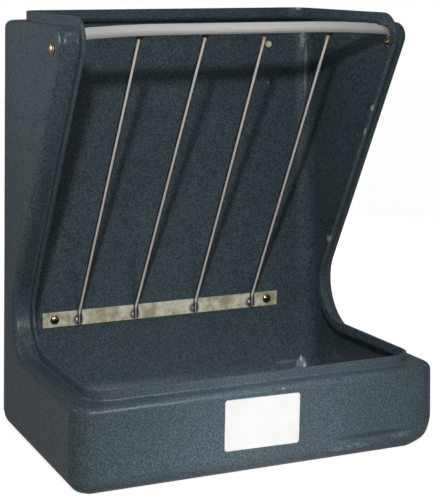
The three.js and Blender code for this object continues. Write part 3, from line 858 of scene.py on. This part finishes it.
def lip_flash():
    shape = bmesh.new()
    bmesh.ops.create_grid(shape, x_segments=150, y_segments=3, size=0.5)
    for vert in shape.verts:
        share, across = vert.co.x + 0.5, vert.co.y + 0.5
        z = FLASH_TOP_Z + (FLASH_END_Z - FLASH_TOP_Z) * share
        uneven = 1 + 0.45 * noise.noise(Vector((share * 40, 0, 3)))
        width = FLASH_WIDTH * uneven * min(1, 20 * share, 20 * (1 - share))
        width += sum(reach * max(0, 1 - abs(z - hook) / HOOK_LENGTH) ** 0.6 for hook, reach in HOOKS)
        on_lip = slant_place(z)
        vert.co = (lip_inside(on_lip) + 1.2 * MM - (width + 1.2 * MM) * across, *on_lip)
    thick = bmesh.ops.extrude_face_region(shape, geom=shape.faces[:])["geom"]
    inward = Vector((0, *(-slant_normal * FLASH_THICKNESS)))
    bmesh.ops.translate(shape, verts=newest(thick, bmesh.types.BMVert), vec=inward)
    bmesh.ops.recalc_face_normals(shape, faces=shape.faces[:])
    flash = finish_piece(shape, "Lip_flash", cut_polyethylene())
    ease_edges(flash, 0.3 * MM, angle=50)


lip_flash()

# %% [markdown]
# ## Label
# A thin label sits on the trough's front. It is left blank. Its corners are round, and its edge is
# drawn a little darker.

# %% Label
LABEL_WIDTH, LABEL_HEIGHT, LABEL_PROUD, LABEL_CORNER = 125.5 * MM, 79.5 * MM, 0.3 * MM, 4.5 * MM
LABEL_PLACE = Vector((-9.6 * MM, front + 0.05 * MM, 82 * MM))
LABEL_TURN = radians(0.9)


def label_film():
    made, tree, shader = new_material("Label film", Specular_IOR_Level=0.3)
    grain = grouped(tree, GRAIN, Peel_scale=700.0, Speck_scale=1200.0, Sway_scale=28.0)
    cloudy = calc(tree, "MULTIPLY", grain["Sway"], 0.5)
    colour = mix_colours(tree, cloudy, (0.80, 0.80, 0.79, 1), (0.74, 0.74, 0.73, 1))
    colour = mix_colours(tree, calc(tree, "MULTIPLY", grain["Specks"], 0.08), colour, (0.70, 0.70, 0.68, 1))
    edge = grouped(tree, WEAR, Reach=0.0025, Breakup=130.0, Amount=0.55)["Mask"]
    tree.links.new(mix_colours(tree, edge, colour, (0.42, 0.43, 0.42, 1)), shader["Base Color"])
    tree.links.new(remap(tree, grain["Peel"], 0.3, 0.7, 0.34, 0.46), shader["Roughness"])
    tree.links.new(bump(tree, grain["Peel"], 0.00005), shader["Normal"])
    return made


def blank_label():
    shape = bmesh.new()
    bmesh.ops.create_grid(shape, x_segments=1, y_segments=1, size=0.5)
    bmesh.ops.scale(shape, verts=shape.verts, vec=(LABEL_WIDTH, LABEL_HEIGHT, 1))
    bmesh.ops.bevel(
        shape, geom=shape.verts[:], offset=LABEL_CORNER, offset_type="OFFSET", segments=6, profile=0.5,
        affect="VERTICES", clamp_overlap=False, material=-1)
    risen = bmesh.ops.extrude_face_region(shape, geom=shape.faces[:])["geom"]
    bmesh.ops.translate(shape, verts=newest(risen, bmesh.types.BMVert), vec=(0, 0, LABEL_PROUD))
    upright = Matrix.Rotation(LABEL_TURN, 4, "Y") @ Matrix.Rotation(pi / 2, 4, "X")
    bmesh.ops.transform(shape, verts=shape.verts, matrix=Matrix.Translation(LABEL_PLACE) @ upright)
    bmesh.ops.recalc_face_normals(shape, faces=shape.faces[:])
    label = finish_piece(shape, "Blank_label", label_film())
    ease_edges(label, 0.08 * MM)


blank_label()

# %% [markdown]
# ## Floor
# A plain pale floor stands for the cut-out white of the photograph and keeps the feeder's shadow.

# %% Floor
FLOOR_LIFT, FAR_FLOOR_LIFT = 0.88, 0.95


def pale_floor():
    """Plain for the light it throws back; the camera sees it lifted nearly to white, gloss by a tenth."""
    made, tree, shader = new_material("Pale floor", Roughness=0.9, Specular_IOR_Level=0.0)
    cloud = noise_at(tree, object_place(tree), 3.0)
    grey = mix_colours(tree, cloud, (0.50, 0.50, 0.50, 1), (0.54, 0.54, 0.54, 1))
    tree.links.new(grey, shader["Base Color"])
    rays = place(tree, "ShaderNodeLightPath").outputs
    mirrored = calc(tree, "MULTIPLY", rays["Is Glossy Ray"], MIRRORED_SHARE)
    seen = calc(tree, "MAXIMUM", rays["Is Camera Ray"], mirrored)
    away = vector_calc(tree, "LENGTH", object_place(tree))["Value"]
    lift = remap(tree, away, 0.4, 1.5, FLOOR_LIFT, FAR_FLOOR_LIFT)
    tree.links.new(calc(tree, "MULTIPLY", seen, lift), shader["Emission Strength"])
    shader["Emission Color"].default_value = (1, 1, 1, 1)
    return made


floor_shape = bmesh.new()
bmesh.ops.create_grid(floor_shape, x_segments=1, y_segments=1, size=6)
floor_mesh = bpy.data.meshes.new("Floor")
floor_shape.to_mesh(floor_mesh)
floor_shape.free()
floor_mesh.materials.append(pale_floor())
floor = bpy.data.objects.new("Floor", floor_mesh)
bpy.context.scene.collection.objects.link(floor)
bpy.context.scene.view_settings.view_transform = "Standard"
print("floor is", floor.dimensions.x, "m wide")
